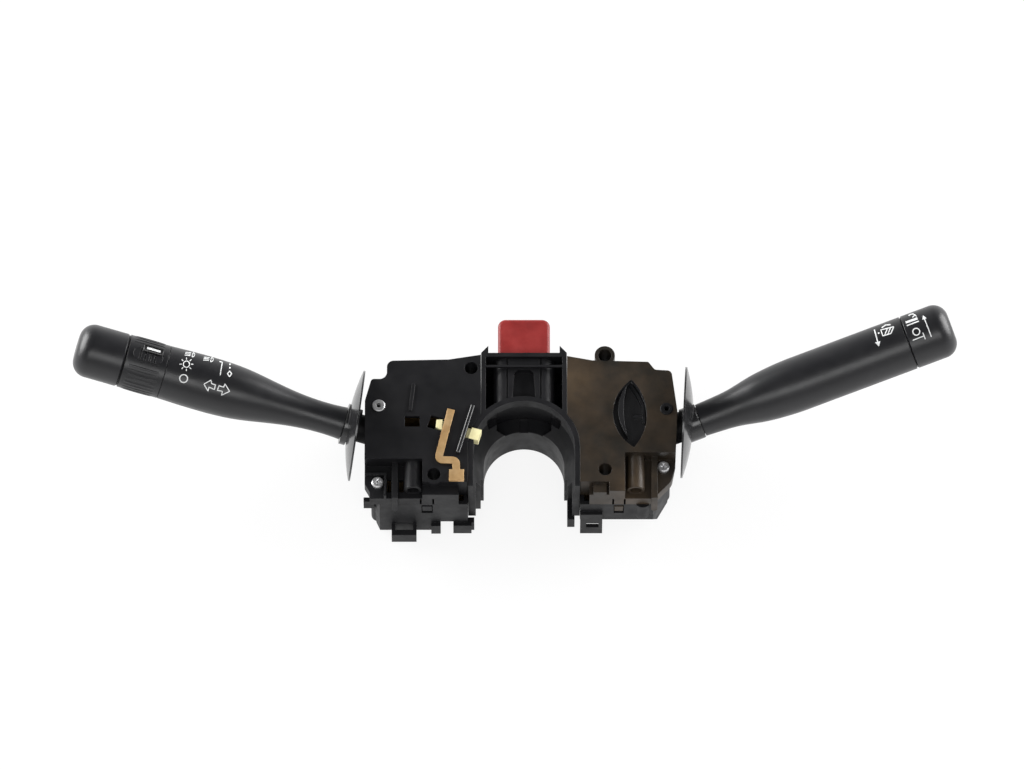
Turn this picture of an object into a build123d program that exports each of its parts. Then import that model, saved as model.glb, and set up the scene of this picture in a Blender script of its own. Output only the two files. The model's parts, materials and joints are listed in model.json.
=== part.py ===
from build123d import *
import os
from math import cos, radians, sin, sqrt

# Combination stalk switch, millimetres. The origin is on the steering column axis at the
# back face. X runs towards the wiper stalk, Y towards the hazard button, and Z along the
# column towards the driver.

# Column saddle
depth = 41.0                  # back face to front plates
front_bore_radius = 22.0
back_bore_radius = 17.5
back_bore_depth = 19.2        # narrow part of the bore
lead_in = 11.8                # cone between the narrow and the wide part
saddle_wall = 2.2
leg_drop = 18.5               # front ends of the legs, below the column centre
back_leg_drop = 11.0
back_leg_depth = 9.5
tongue_drop = 19.6

# Hazard cradle
cradle_half_width = 18.6
cradle_wall = 2.0
cradle_top = 44.9
cradle_roof = 1.8
cradle_back = 10.0
ear_height = 3.4
ear_width = 3.1
ear_thickness = 2.0
bar_thickness = 1.0
bar_place = 38.1              # underside of the bar across the cradle
key_slot_half = 1.9
key_slot_depth = 1.4
bore_pocket = (6.5, 2.6, 8.0)
bore_pocket_turn = 38.0

# Housings
shell_wall = 1.8
parting_height = 27.0         # where the front covers meet the rear housings
bottom_face = -21.0
recess_floor = 33.0           # lower level round the screws and tube bosses
ledge_height = 37.0           # step along the bottom edge beside the saddle
tab_thickness = 1.4
left_recess_edge = -44.0
left_recess_top = -5.6
right_recess_edge = 43.7
right_recess_top = -2.6
fit = 0.1                     # gap between mouldings of the fixed body
running = 0.3                 # gap round moving pieces
slip = 0.05                   # round a rod, pin or plunger

# Screw holes through the housings
screw_tube_wall = 1.5
left_upper_hole = (-22.9, 37.6)
left_lower_hole = (-39.0, -13.0)
right_hole_x = 35.1
right_lug_y = 43.7
right_lower_y = -10.7
screw_hole_radius = 2.9
lug_radius = 4.4

# Cover screws and the two hollow rivets
screw_place = {-1: (-63.4, -13.8), 1: (60.4, -6.4)}
screw_boss_radius = 3.0
screw_radius = 1.25
screw_head_radius = 2.6
screw_head_height = 1.8
screw_length = 20.0
rivet_place = {-1: (-63.0, 19.6), 1: (61.8, 18.0)}
rivet_radius = 1.9
rivet_flange = 2.8
rivet_bore = 1.1

# Tube bosses for the column shroud
tube_boss_x = {-1: -48.0, 1: 48.4}
tube_boss_radius = 3.8
tube_boss_bore = 2.6
tube_boss_end = -18.5
tube_boss_height = 36.0

# Stalks. Side -1 is the lighting stalk, side 1 the wiper stalk.
side_name = {-1: "left", 1: "right"}
neck_point = {-1: (-78.5, 16.1, 30.2), 1: (76.8, 17.5, 30.4)}
stalk_rise = {-1: 0.224, 1: 0.32}         # per millimetre of X
stalk_lean = 0.2
pivot_inset = {-1: 22.0, 1: 24.2}         # neck to pivot, along the stalk
neck_radius = 7.2
root_radius = 6.1
grip_radius = {-1: 12.1, 1: 11.9}
head_radius = {-1: 11.7, 1: 11.9}
handle_length = {-1: 81.0, 1: 96.0}
ring_length = 18.0
cap_length = {-1: 21.4, 1: 20.2}
head_gap = {-1: 0.6, 1: 0.4}
rod_radius = 4.5
flange_radius = {-1: 9.0, 1: 7.6}
shield_radius = 24.2
shield_thickness = 0.8
shield_sag = 3.8
shield_tilt = {-1: (0.12, 0.08), 1: (-0.05, 0.0)}
shield_apex = {-1: -1.8, 1: -3.4}
hub_radius = 7.7
hub_end = {-1: -5.5, 1: -7.5}
turn_range = {-1: (-7.0, 7.0), 1: (-5.0, 15.0)}
detent_turns = {-1: (-7.0, 0.0, 7.0), 1: (-5.0, 0.0, 5.0, 10.0, 15.0)}
pull_range = 5.0

# Hazard switch
hazard_width = 26.5
hazard_front = 39.5
hazard_edge = 5.0
button_width = 22.6
button_depth = 16.0
button_top = 64.4
button_corner = 3.4
hazard_recess = 3.5           # blind recess in the front of the hazard switch
hazard_back_wall = 1.3        # behind that recess

# Turn mechanism inside each housing
yoke_width = 15.0
yoke_height = 15.0
yoke_length = 6.0
yoke_wall = 2.2
trunnion_radius = 3.0
trunnion_length = 2.4
cross_pin_radius = 1.5
tail_length = 13.0
boss_wall = 2.0
plunger_radius = 2.0

# Cancelling pawl and horn contact
pawl_thickness = 2.4
pawl_width = 5.4
nose_length = 4.4
wedge_half = 1.9
pawl_travel_in = 2.5
pawl_travel_out = 1.0
lip_thickness = 1.0
recess_bed = 36.8
strip_width = 3.2
strip_thickness = 0.8

os.makedirs("parts", exist_ok=True)
stand = (Align.CENTER, Align.CENTER, Align.MIN)


def save(piece, label):
    piece.part.label = label
    export_step(piece.part, f"parts/{label}.step")


def arch(radius, drop):
    # Filled inverted U: a half circle with straight legs that end below the column centre
    with BuildSketch(mode=Mode.PRIVATE) as shape:
        with BuildLine():
            Line((-radius, -drop), (-radius, 0))
            ThreePointArc((-radius, 0), (0, radius), (radius, 0))
            Polyline((radius, 0), (radius, -drop), (-radius, -drop))
        make_face()
    return shape.sketch


def round_corner(sketch, corner, radius):
    fillet(sketch.vertices().sort_by_distance(corner)[0], radius)


def cut_box(low, high, mode=Mode.SUBTRACT):
    # A box between two opposite corners, cut away unless another mode is given
    middle = [(a + b) / 2 for a, b in zip(low, high)]
    with Locations(tuple(middle)):
        Box(*[b - a for a, b in zip(low, high)], mode=mode)


# ---- Pawl line: it crosses the saddle wall and the left cover ----
pawl_nose = (-21.2, 6.2)      # middle of the square nose, in the bore wall
pawl_tail = (-36.6, 10.9)     # middle of the wedge
pawl_top = depth - 0.3
pawl_base = depth - shell_wall - pawl_thickness - running
pawl_middle = tuple((a + b) / 2 for a, b in zip(pawl_nose, pawl_tail))
pawl_span = sqrt((pawl_nose[0] - pawl_tail[0]) ** 2 + (pawl_nose[1] - pawl_tail[1]) ** 2)
pawl_plane = Plane(
    origin=(*pawl_middle, pawl_base),
    x_dir=(pawl_nose[0] - pawl_tail[0], pawl_nose[1] - pawl_tail[1], 0),
    z_dir=(0, 0, 1),
)

# ---- Column saddle with the hazard cradle ----
saddle_radius = front_bore_radius + saddle_wall
cover_arch_radius = saddle_radius + fit
cradle_inner = cradle_half_width - cradle_wall
cradle_foot = sqrt(saddle_radius**2 - cradle_half_width**2)
pocket_floor = cradle_back + cradle_wall
# Each step of the legs: how far below the centre, and half the gap from there down
leg_steps = [(drop, back_bore_radius + share * (front_bore_radius - back_bore_radius))
             for drop, share in ((7.0, 0.29), (10.9, 0.76))]
button_front = hazard_front - hazard_recess - hazard_back_wall - running
hazard_room = button_depth + 2 * running

with BuildPart() as column_saddle:
    with BuildSketch(Plane.XY.offset(back_leg_depth)):
        add(arch(saddle_radius, leg_drop))
    extrude(amount=depth - back_leg_depth)
    with BuildSketch(Plane.XY):
        add(arch(saddle_radius, back_leg_drop))
    extrude(amount=back_leg_depth)
    with BuildSketch(Plane.XY.offset(cradle_back)):
        with Locations((0, cradle_top)):
            Rectangle(2 * cradle_half_width, cradle_top - cradle_foot, align=(Align.CENTER, Align.MAX))
    extrude(amount=depth - cradle_back)
    # Pocket of the hazard switch, open to the front
    with BuildSketch(Plane.XY.offset(pocket_floor)):
        with Locations((0, cradle_top - cradle_roof)):
            Rectangle(2 * cradle_inner, 2 * cradle_top, align=(Align.CENTER, Align.MAX))
        add(arch(saddle_radius, 2 * cradle_top), mode=Mode.SUBTRACT)
    extrude(amount=depth, mode=Mode.SUBTRACT)
    # Window in the roof for the hazard button
    cut_box((-button_width / 2 - 2 * running, cradle_foot, button_front + running - hazard_room),
            (button_width / 2 + 2 * running, cradle_top + 1, button_front + 2 * running))
    # Column opening: wide at the front, a cone, and narrow at the back
    cone_end = back_bore_depth + lead_in
    with BuildSketch(Plane.XY.offset(cone_end)):
        add(arch(front_bore_radius, 2 * leg_drop))
    extrude(amount=depth, mode=Mode.SUBTRACT)
    with BuildSketch(Plane.XY.offset(back_bore_depth)):
        add(arch(back_bore_radius, 2 * leg_drop))
    with BuildSketch(Plane.XY.offset(cone_end)):
        add(arch(front_bore_radius, 2 * leg_drop))
    loft(mode=Mode.SUBTRACT)
    # The legs step outward below the column
    with BuildSketch(Plane.XY):
        add(arch(back_bore_radius, back_leg_drop))
        for drop, half_gap in leg_steps:
            with Locations((0, -drop)):
                Rectangle(2 * half_gap, 2 * leg_drop, align=(Align.CENTER, Align.MAX))
    extrude(amount=cone_end, mode=Mode.SUBTRACT)
    # Tongue that runs down from the right leg's back end
    cut_box((leg_steps[0][1], -tongue_drop, 0),
            (front_bore_radius, -back_leg_drop + fit, back_leg_depth - 1.5), Mode.ADD)
    # Key slot in the crown of the bore, and a shallow pocket on each side of it
    cut_box((-key_slot_half, back_bore_radius - key_slot_depth, back_bore_depth - key_slot_half),
            (key_slot_half, front_bore_radius + key_slot_depth, back_bore_depth + lead_in / 2))
    for turn in (-bore_pocket_turn, bore_pocket_turn):
        with Locations(Plane.XY.rotated((0, 0, turn)) * Location((0, front_bore_radius, cone_end))):
            Box(*bore_pocket, mode=Mode.SUBTRACT)
    # Bar across the cradle and a pointed ear on each rib
    cut_box((-cradle_inner, bar_place, depth - bar_thickness),
            (cradle_inner, bar_place + bar_thickness, depth), Mode.ADD)
    for side in (-1, 1):
        with BuildSketch(Plane.XY.offset(depth - ear_thickness)):
            with BuildLine():
                Polyline((side * cradle_half_width, cradle_top),
                         (side * (cradle_half_width - ear_width), cradle_top + ear_height),
                         (side * (cradle_half_width - ear_width), cradle_top), close=True)
            make_face()
        extrude(amount=ear_thickness)
    # Notch that the pawl's nose passes through
    with BuildSketch(pawl_plane.offset(-running)):
        Rectangle(4 * pawl_width + pawl_span, pawl_width + 2 * running)
    extrude(amount=depth, mode=Mode.SUBTRACT)
save(column_saddle, "column_saddle")

# ---- Outlines of the two housings, seen from the front ----
left_side = -69.0
right_side = 66.5


def left_outline():
    rib = cradle_half_width + fit
    corners = [(-rib, bottom_face), (-rib, 44.0), (-32.7, 41.7), (-59.5, 41.1), (-59.5, 32.4),
               (left_side + 2.8, 32.4), (left_side, 22.0), (left_side, -14.0), (-66.8, -18.0),
               (-66.8, bottom_face)]
    with BuildSketch(mode=Mode.PRIVATE) as outline:
        with BuildLine():
            Polyline(*corners, close=True)
        make_face()
        round_corner(outline, (-59.5, 41.1), 3.0)
        round_corner(outline, (-59.5, 32.4), 3.2)
        round_corner(outline, (left_side + 2.8, 32.4), 1.5)
        add(arch(cover_arch_radius, 2 * leg_drop), mode=Mode.SUBTRACT)
    return outline.sketch


def right_outline():
    rib = cradle_half_width + fit
    corners = [(rib, bottom_face), (rib, 43.4), (29.6, 41.3), (54.0, 40.6), (56.8, 36.8), (64.0, 36.4),
               (right_side, 17.0), (65.6, -4.0), (64.0, -12.5), (56.0, bottom_face)]
    with BuildSketch(mode=Mode.PRIVATE) as outline:
        with BuildLine():
            Polyline(*corners, close=True)
        make_face()
        round_corner(outline, (54.0, 40.6), 1.2)
        round_corner(outline, (56.8, 36.8), 2.0)
        round_corner(outline, (64.0, 36.4), 2.2)
        round_corner(outline, (64.0, -12.5), 6.0)
        with Locations((right_hole_x, right_lug_y)):
            Circle(lug_radius)
        add(arch(cover_arch_radius, 2 * leg_drop), mode=Mode.SUBTRACT)
    return outline.sketch


# ---- Levers: planes shared by everything that rides on or passes a stalk ----
def stalk_direction(side):
    return Vector(side, stalk_rise[side], stalk_lean).normalized()


def stalk_plane(side, along):
    # Square to the stalk, at a distance out from its neck; local Y leans towards the driver
    direction = stalk_direction(side)
    across = Vector(0, 0, 1).cross(direction)
    return Plane(origin=Vector(*neck_point[side]) + direction * along, x_dir=across, z_dir=direction)


def pivot_point(side):
    return stalk_plane(side, -pivot_inset[side]).origin


def lever_plane(side, height=0.0):
    # Level plane at the lever's pivot, local X pointing outward along the stalk
    direction = Vector(side, stalk_rise[side], 0)
    return Plane(origin=pivot_point(side) + Vector(0, 0, height), x_dir=direction, z_dir=(0, 0, 1))


window_start = 4.0            # outward from the pivot
flange_start = -0.3


def cut_root_window(side):
    # Room for the shield's hub where the stalk leaves the housing, over its whole travel
    lowest, highest = turn_range[side]
    hub_reach = pivot_inset[side] + flange_start
    spread = 2 * hub_reach * sin(radians((highest - lowest) / 2))
    height = hub_radius + running + hub_reach * sin(radians(pull_range))
    start = stalk_plane(side, -pivot_inset[side])
    across = start.x_dir.rotate(Axis.Z, (lowest + highest) / 2)
    outward = start.z_dir.rotate(Axis.Z, (lowest + highest) / 2)
    window_plane = Plane(origin=start.origin, x_dir=across, z_dir=outward)
    with BuildSketch(window_plane.offset(window_start), mode=Mode.PRIVATE) as window:
        SlotCenterToCenter(spread, 2 * height)
    extrude(window.sketch, amount=2 * pivot_inset[side], mode=Mode.SUBTRACT)


boss_radius = trunnion_radius + slip + boss_wall


def lens_outline():
    # Tall lens-shaped opening in the right plate
    with BuildSketch(mode=Mode.PRIVATE) as lens:
        with BuildLine():
            ThreePointArc((46.6, 32.0), (38.7, 18.2), (47.6, -0.2))
            ThreePointArc((47.6, -0.2), (53.2, 16.6), (46.6, 32.0))
        make_face()
    return lens.sketch


def cut_trunnion_bore(side):
    pivot = pivot_point(side)
    reach = pivot.Z + yoke_height / 2 + trunnion_length + running - parting_height
    with Locations((pivot.X, pivot.Y, parting_height)):
        Cylinder(trunnion_radius + slip, reach, align=stand, mode=Mode.SUBTRACT)


# ---- Front covers: plate and skirt in one moulding, open at the back ----
ledge_end = {-1: left_recess_edge, 1: 36.8}
ledge_top = -16.5
corner_width = 4.0
recess_rib = {-1: (-57.2, -54.6), 1: (55.1, 57.8)}
tab_point = 22.5
latch_side = {-1: (-44.1, -39.9), 1: (39.2, 43.0)}
latch_end = 18.2
latch_slot = 0.8
catch_start = 19.4
catch_length = 4.6
screw_wall_height = 3.0       # of the low walls beside the left cover screw


def build_cover(side, outline, recess_edge, recess_top, holes):
    outer = side * 90.0
    inner = side * cover_arch_radius
    with BuildPart() as cover:
        with BuildSketch(Plane.XY.offset(parting_height)):
            add(outline)
        extrude(amount=depth - parting_height)
        cut_box((min(outer, recess_edge), bottom_face - 5, recess_floor),
                (max(outer, recess_edge), recess_top, depth + 1))
        # Ledge along the bottom edge, and a lower notch in the corner beside the saddle
        ledge = sorted((inner, ledge_end[side]))
        cut_box((ledge[0], bottom_face, ledge_height), (ledge[1], ledge_top, depth + 1))
        corner = sorted((inner, inner + side * corner_width))
        cut_box((corner[0], bottom_face, parting_height), (corner[1], ledge_top, depth))
        open_face = cover.faces().sort_by(Axis.Z)[0]
        offset(amount=-shell_wall, openings=open_face)
        # Screw tubes down to the parting plane
        with BuildSketch(Plane.XY.offset(parting_height)):
            with Locations(*holes):
                Circle(screw_hole_radius + screw_tube_wall)
            add(outline, mode=Mode.INTERSECT)
        extrude(amount=depth - parting_height)
        with BuildSketch(Plane.XY.offset(parting_height)):
            with Locations(*holes):
                Circle(screw_hole_radius)
        extrude(amount=depth, mode=Mode.SUBTRACT)
        # Tube boss along Y, standing on the recess floor
        boss_plane = Plane(origin=(tube_boss_x[side], tube_boss_end, tube_boss_height), z_dir=(0, 1, 0))
        with BuildSketch(boss_plane):
            Circle(tube_boss_radius)
        extrude(amount=recess_top - tube_boss_end)
        with BuildSketch(boss_plane):
            Circle(tube_boss_bore)
        extrude(amount=recess_top - tube_boss_end, mode=Mode.SUBTRACT)
        # Rib across the recess, running on as a pointed tab over the rear housing's bottom
        rib_low, rib_high = sorted(recess_rib[side])
        cut_box((rib_low, bottom_face - tab_thickness, recess_floor),
                (rib_high, recess_top, ledge_height), Mode.ADD)
        with BuildSketch(Plane.XZ.offset(-bottom_face + fit)):
            with BuildLine():
                Polyline((rib_low, ledge_height), (rib_low, tab_point + 2),
                         ((rib_low + rib_high) / 2, tab_point), (rib_high, tab_point + 2),
                         (rib_high, ledge_height), close=True)
            make_face()
        extrude(amount=tab_thickness - fit)
        # Snap latch inside the bottom wall, between two slots
        latch_low, latch_high = sorted(latch_side[side])
        cut_box((latch_low, bottom_face + shell_wall + fit, latch_end),
                (latch_high, bottom_face + shell_wall + fit + tab_thickness, recess_floor), Mode.ADD)
        cut_box((latch_low, bottom_face + shell_wall - fit, parting_height + 1),
                (latch_high, bottom_face + shell_wall + fit, recess_floor), Mode.ADD)
        cut_box((latch_low, bottom_face + running, catch_start),
                (latch_high, bottom_face + shell_wall + fit, catch_start + catch_length), Mode.ADD)
        for edge in (latch_low - 2 * fit - latch_slot, latch_high + 2 * fit):
            cut_box((edge, bottom_face - 1, parting_height - 1),
                    (edge + latch_slot, bottom_face + shell_wall, recess_floor - 0.5))
        # Boss of the cover screw and hole of the rivet
        with Locations((*screw_place[side], parting_height)):
            Cylinder(screw_boss_radius, recess_floor - parting_height, align=stand)
            Cylinder(screw_radius + 2 * fit, 2 * depth, mode=Mode.SUBTRACT)
        with Locations((*rivet_place[side], depth)):
            Cylinder(rivet_radius + slip, 2 * shell_wall + fit, mode=Mode.SUBTRACT)
        # Upper boss of the yoke
        pivot = pivot_point(side)
        yoke_top = pivot.Z + yoke_height / 2
        with Locations((pivot.X, pivot.Y, yoke_top + running)):
            Cylinder(boss_radius, depth - shell_wall / 2 - yoke_top - running, align=stand)
        cut_trunnion_bore(side)
        cut_root_window(side)
    return cover


left_cover_holes = [left_upper_hole, left_lower_hole]
right_cover_holes = [(right_hole_x, right_lug_y), (right_hole_x, right_lower_y)]

with BuildPart() as left_front_cover:
    add(build_cover(-1, left_outline(), left_recess_edge, left_recess_top, left_cover_holes).part)
    # Rails under the plate that carry the pawl, with lips below it
    with BuildSketch(pawl_plane.offset(-running - lip_thickness)):
        with Locations((-pawl_span / 4, 0)):
            Rectangle(pawl_span / 2, pawl_width + 2 * running + 2 * lip_thickness)
    extrude(amount=pawl_thickness + 2 * running + lip_thickness + shell_wall / 2)
    with BuildSketch(pawl_plane.offset(-running - lip_thickness)):
        Rectangle(pawl_span, pawl_width - 2 * lip_thickness)
    extrude(amount=2 * lip_thickness, mode=Mode.SUBTRACT)
    with BuildSketch(pawl_plane.offset(-running)):
        with Locations((pawl_span / 4, 0)):
            Rectangle(2.5 * pawl_span, pawl_width + 2 * running)
    extrude(amount=pawl_thickness + 2 * running, mode=Mode.SUBTRACT)
    # Windows for the nose and for the wedge, as long as the pawl's travel needs
    nose_start = pawl_span / 2 - nose_length / 2 - pawl_travel_in - running
    wedge_start = -pawl_span / 2 - wedge_half - pawl_travel_in - running
    wedge_end = -pawl_span / 2 + wedge_half + pawl_travel_out + running
    with BuildSketch(pawl_plane):
        with Locations((nose_start, 0)):
            Rectangle(pawl_span, pawl_width + 2 * running, align=(Align.MIN, Align.CENTER))
        with Locations(((wedge_start + wedge_end) / 2, 0)):
            Rectangle(wedge_end - wedge_start, pawl_width + 2 * running)
    extrude(amount=depth, mode=Mode.SUBTRACT)
    # Raised rib and shallow pocket beside the pawl
    with BuildSketch(Plane.XY.offset(depth)):
        with BuildLine():
            Line((-47.9, 29.9), (-49.3, 17.0))
        trace(line_width=1.4)
    extrude(amount=0.8)
    cut_box((-51.7, 9.6, depth - 2 * shell_wall), (-45.2, 14.6, depth + 1))
    # Walls beside the cover screw, and slots in the recess floor
    for low, high in (((left_side + 0.5, -11.0), (-59.6, -10.0)), ((-60.6, bottom_face), (-59.6, -10.0))):
        cut_box((*low, recess_floor), (*high, recess_floor + screw_wall_height), Mode.ADD)
    for low, high in ((-59.2, -57.6), (-54.0, -52.2)):
        cut_box((low, -18.0, recess_floor - 2 * shell_wall), (high, -12.0, depth))

with BuildPart() as right_front_cover:
    add(build_cover(1, right_outline(), right_recess_edge, right_recess_top, right_cover_holes).part)
    # Deep lens-shaped recess with a crescent wall inside
    with BuildSketch(Plane.XY.offset(recess_bed - shell_wall)):
        add(offset(lens_outline(), amount=shell_wall, mode=Mode.PRIVATE))
    extrude(amount=depth - shell_wall / 2 - recess_bed + shell_wall)
    with BuildSketch(Plane.XY.offset(recess_bed)):
        add(lens_outline())
    extrude(amount=depth, mode=Mode.SUBTRACT)
    with BuildSketch(Plane.XY.offset(recess_bed)):
        with BuildLine():
            ThreePointArc((44.6, 29.6), (40.9, 18.4), (44.8, 5.4))
            ThreePointArc((44.8, 5.4), (43.2, 17.5), (44.6, 29.6))
        make_face()
    extrude(amount=depth - recess_bed - 0.4)
    # The lens wall reaches the yoke's boss, so the bore is cleared once more
    cut_trunnion_bore(1)
    # Block on the ledge
    cut_box((30.0, bottom_face, ledge_height - fit), (35.7, ledge_top, depth - 1.5), Mode.ADD)
save(left_front_cover, "left_front_cover")
save(right_front_cover, "right_front_cover")

# ---- Rear housings: drafted boxes open to the front, with posts, tubes and a socket ----
draft_run = 2.4               # how far the outer side leans in towards the back
rear_side = {-1: 66.6, 1: 64.4}
board_height = 12.0
board_thickness = 1.6
socket_depth = 10.0
socket_floor = 1.5
socket_wall = 1.5
blade_pitch = 3.2
blade_row = 5.2
blade_count = 5
blade_thickness = 0.8
blade_width = 2.4
socket_low = {-1: (-60.2, -18.2), 1: (28.0, 14.0)}
socket_high = {-1: (-44.0, -7.0), 1: (44.2, 25.2)}
right_back = 4.0              # the right housing stands a little off the rest plane
yoke_bottom = {side: pivot_point(side).Z - yoke_height / 2 for side in (-1, 1)}
post_radius = 1.6
post_places = {-1: [(-60.0, 28.0), (-30.0, 30.0), (-60.0, -2.0), (-29.0, -12.0)],
               1: [(60.0, 28.0), (27.0, 30.0), (60.0, -2.0), (50.0, -12.0)]}


def socket_middle(side, height):
    low, high = socket_low[side], socket_high[side]
    return ((low[0] + high[0]) / 2, (low[1] + high[1]) / 2, height)


def rear_outline(side):
    rib = cradle_half_width + fit
    outer = rear_side[side]
    corners = [(side * rib, bottom_face), (side * rib, 41.0), (side * 56.0, 39.0), (side * 58.0, 30.5),
               (side * outer, 30.5), (side * outer, outer_corner[side][0]),
               (side * (outer - outer_corner[side][1]), bottom_face)]
    with BuildSketch(mode=Mode.PRIVATE) as outline:
        with BuildLine():
            Polyline(*corners, close=True)
        make_face()
        round_corner(outline, (side * 56.0, 39.0), 2.0)
        round_corner(outline, (side * outer, 30.5), 3.0)
        round_corner(outline, (side * outer, outer_corner[side][0]), outer_corner[side][2])
        if side > 0:
            with Locations((right_hole_x, right_lug_y)):
                Circle(lug_radius)
        add(arch(cover_arch_radius, 2 * leg_drop), mode=Mode.SUBTRACT)
    return outline.sketch


outer_corner = {-1: (-12.0, 4.0, 1.0), 1: (-6.0, 8.4, 8.0)}     # lower end, run and rounding
heel_run = 3.4                # bevel along the bottom back edge of the right housing
heel_rise = 7.2


def drafted_block(side, back, inset):
    # The housing's outline between back and front, its outer side leaning in towards the back
    outer = side * (rear_side[side] - inset)
    beyond = outer + side * depth
    with BuildPart() as block:
        with BuildSketch(Plane.XY.offset(back)):
            add(rear_outline(side))
            if inset:
                offset(amount=-inset, mode=Mode.REPLACE)
        extrude(amount=parting_height - back)
        with BuildSketch(Plane.XZ.offset(-2 * cradle_top)):
            with BuildLine():
                Polyline((outer, parting_height), (outer - side * draft_run, 0),
                         (beyond, 0), (beyond, parting_height), close=True)
            make_face()
        extrude(amount=4 * cradle_top, mode=Mode.SUBTRACT)
        if side > 0:
            low = bottom_face + inset
            with BuildSketch(Plane.YZ):
                with BuildLine():
                    Polyline((low - 1, back + heel_rise), (low, back + heel_rise), (low + heel_run, back),
                             (low + heel_run, back - 1), (low - 1, back - 1), close=True)
                make_face()
            extrude(amount=2 * right_side, mode=Mode.SUBTRACT)
    return block


def build_rear(side, back, holes):
    room = drafted_block(side, back + shell_wall, shell_wall)
    with BuildPart() as rear:
        add(drafted_block(side, back, 0.0).part)
        add(room.part, mode=Mode.SUBTRACT)
        # Socket walls, screw tubes, board posts and the lower boss of the yoke
        low, high = socket_low[side], socket_high[side]
        cut_box((low[0] - socket_wall, low[1] - socket_wall, 0),
                (high[0] + socket_wall, high[1] + socket_wall, socket_depth + socket_floor), Mode.ADD)
        with BuildSketch(Plane.XY.offset(back), mode=Mode.PRIVATE) as tubes:
            with Locations(*holes):
                Circle(screw_hole_radius + screw_tube_wall)
            add(rear_outline(side), mode=Mode.INTERSECT)
        extrude(tubes.sketch, amount=parting_height - back)
        with BuildSketch(Plane.XY.offset(back), mode=Mode.PRIVATE) as posts:
            with Locations(*post_places[side]):
                Circle(post_radius)
        extrude(posts.sketch, amount=board_height - back)
        pivot = pivot_point(side)
        with Locations((pivot.X, pivot.Y, back)):
            Cylinder(boss_radius, yoke_bottom[side] - running - back,
                     align=stand)
        with Locations((pivot.X, pivot.Y, yoke_bottom[side] - trunnion_length - running)):
            Cylinder(trunnion_radius + slip, yoke_height,
                     align=stand, mode=Mode.SUBTRACT)
        with Locations((*screw_place[side], back)):
            Cylinder(screw_boss_radius, parting_height - back, align=stand)
        with Locations((*screw_place[side], depth)):
            Cylinder(screw_radius, 2 * (screw_length + depth - recess_floor), mode=Mode.SUBTRACT)
        cut_box((*low, -1), (*high, socket_depth))
        with Locations(Location(socket_middle(side, socket_depth))):
            with GridLocations(blade_pitch, blade_row, blade_count, 2):
                Box(blade_thickness + fit, blade_width + fit, 4 * socket_floor, mode=Mode.SUBTRACT)
        with Locations(*[(*hole, 0) for hole in holes]):
            Cylinder(screw_hole_radius, 4 * depth, mode=Mode.SUBTRACT)
        cut_root_window(side)
        # Window that the cover's latch snaps into
        latch_low, latch_high = sorted(latch_side[side])
        cut_box((latch_low - running, bottom_face - 1, latch_end - running),
                (latch_high + running, bottom_face + shell_wall + slip, parting_height - 1))
    return rear


# Forms along the bottom of the rear housings: X from and to, how far down, and how far up in Z
plug_loop = (-57.5, -46.7, 5.7, 7.2)
plug_loop_slot = (-56.0, -48.2, 3.2)
outer_foot = (-40.3, -36.2, 1.8, 8.0)
inner_foot = (-30.7, -22.8, 1.6, 8.0)
heel_notch = (-36.2, -30.7, 4.2, 9.0)
notch_wall = 1.2              # thin, to stay clear of the screw hole beside it
latch_plate = (24.4, 34.0, 1.6, 19.5)
latch_plate_slot = (27.0, 32.4, 6.3, 10.4)
lobe_place = (51.4, 2.1, 15.0)
lobe_radius = 3.6
side_nub = ((-69.6, -17.0, 14.0), (-65.0, -15.0, 21.0))


def hang(form):
    # A block below the bottom face, from the back face up
    low, high, drop, rise = form
    cut_box((low, bottom_face - drop, 0), (high, bottom_face + fit, rise), Mode.ADD)


with BuildPart() as left_rear_housing:
    add(build_rear(-1, 0.0, left_cover_holes).part)
    # Loop over the socket that holds the plug's latch
    hang(plug_loop)
    cut_box((plug_loop_slot[0], bottom_face - plug_loop_slot[2], -1),
            (plug_loop_slot[1], bottom_face - fit, plug_loop[3] + 1))
    # Feet along the bottom, the inner one reaching under the saddle's leg, and a notch between them
    hang(outer_foot)
    hang(inner_foot)
    cut_box((-cover_arch_radius - 1, bottom_face, 0),
            (-front_bore_radius + 4 * fit, -leg_drop - fit, inner_foot[3]), Mode.ADD)
    low, high, drop, rise = heel_notch
    cut_box((low - notch_wall, bottom_face, 0),
            (high + notch_wall, bottom_face + drop + notch_wall, rise + notch_wall), Mode.ADD)
    cut_box((low, bottom_face - 1, -1), (high, bottom_face + drop, rise))
    # Nub on the outer side
    cut_box(*side_nub, Mode.ADD)

with BuildPart() as right_rear_housing:
    add(build_rear(1, right_back, right_cover_holes).part)
    # Latch plate that stands behind the bevel, with a slot across it
    hang(latch_plate)
    low, high, start, end = latch_plate_slot
    cut_box((low, bottom_face - 2 * latch_plate[2], start), (high, bottom_face + 1, end))
    # Rounded lobe under the parting line
    with Locations((lobe_place[0], bottom_face + lobe_place[1], lobe_place[2])):
        Cylinder(lobe_radius, parting_height - lobe_place[2], align=stand)
save(left_rear_housing, "left_rear_housing")
save(right_rear_housing, "right_rear_housing")

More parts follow.
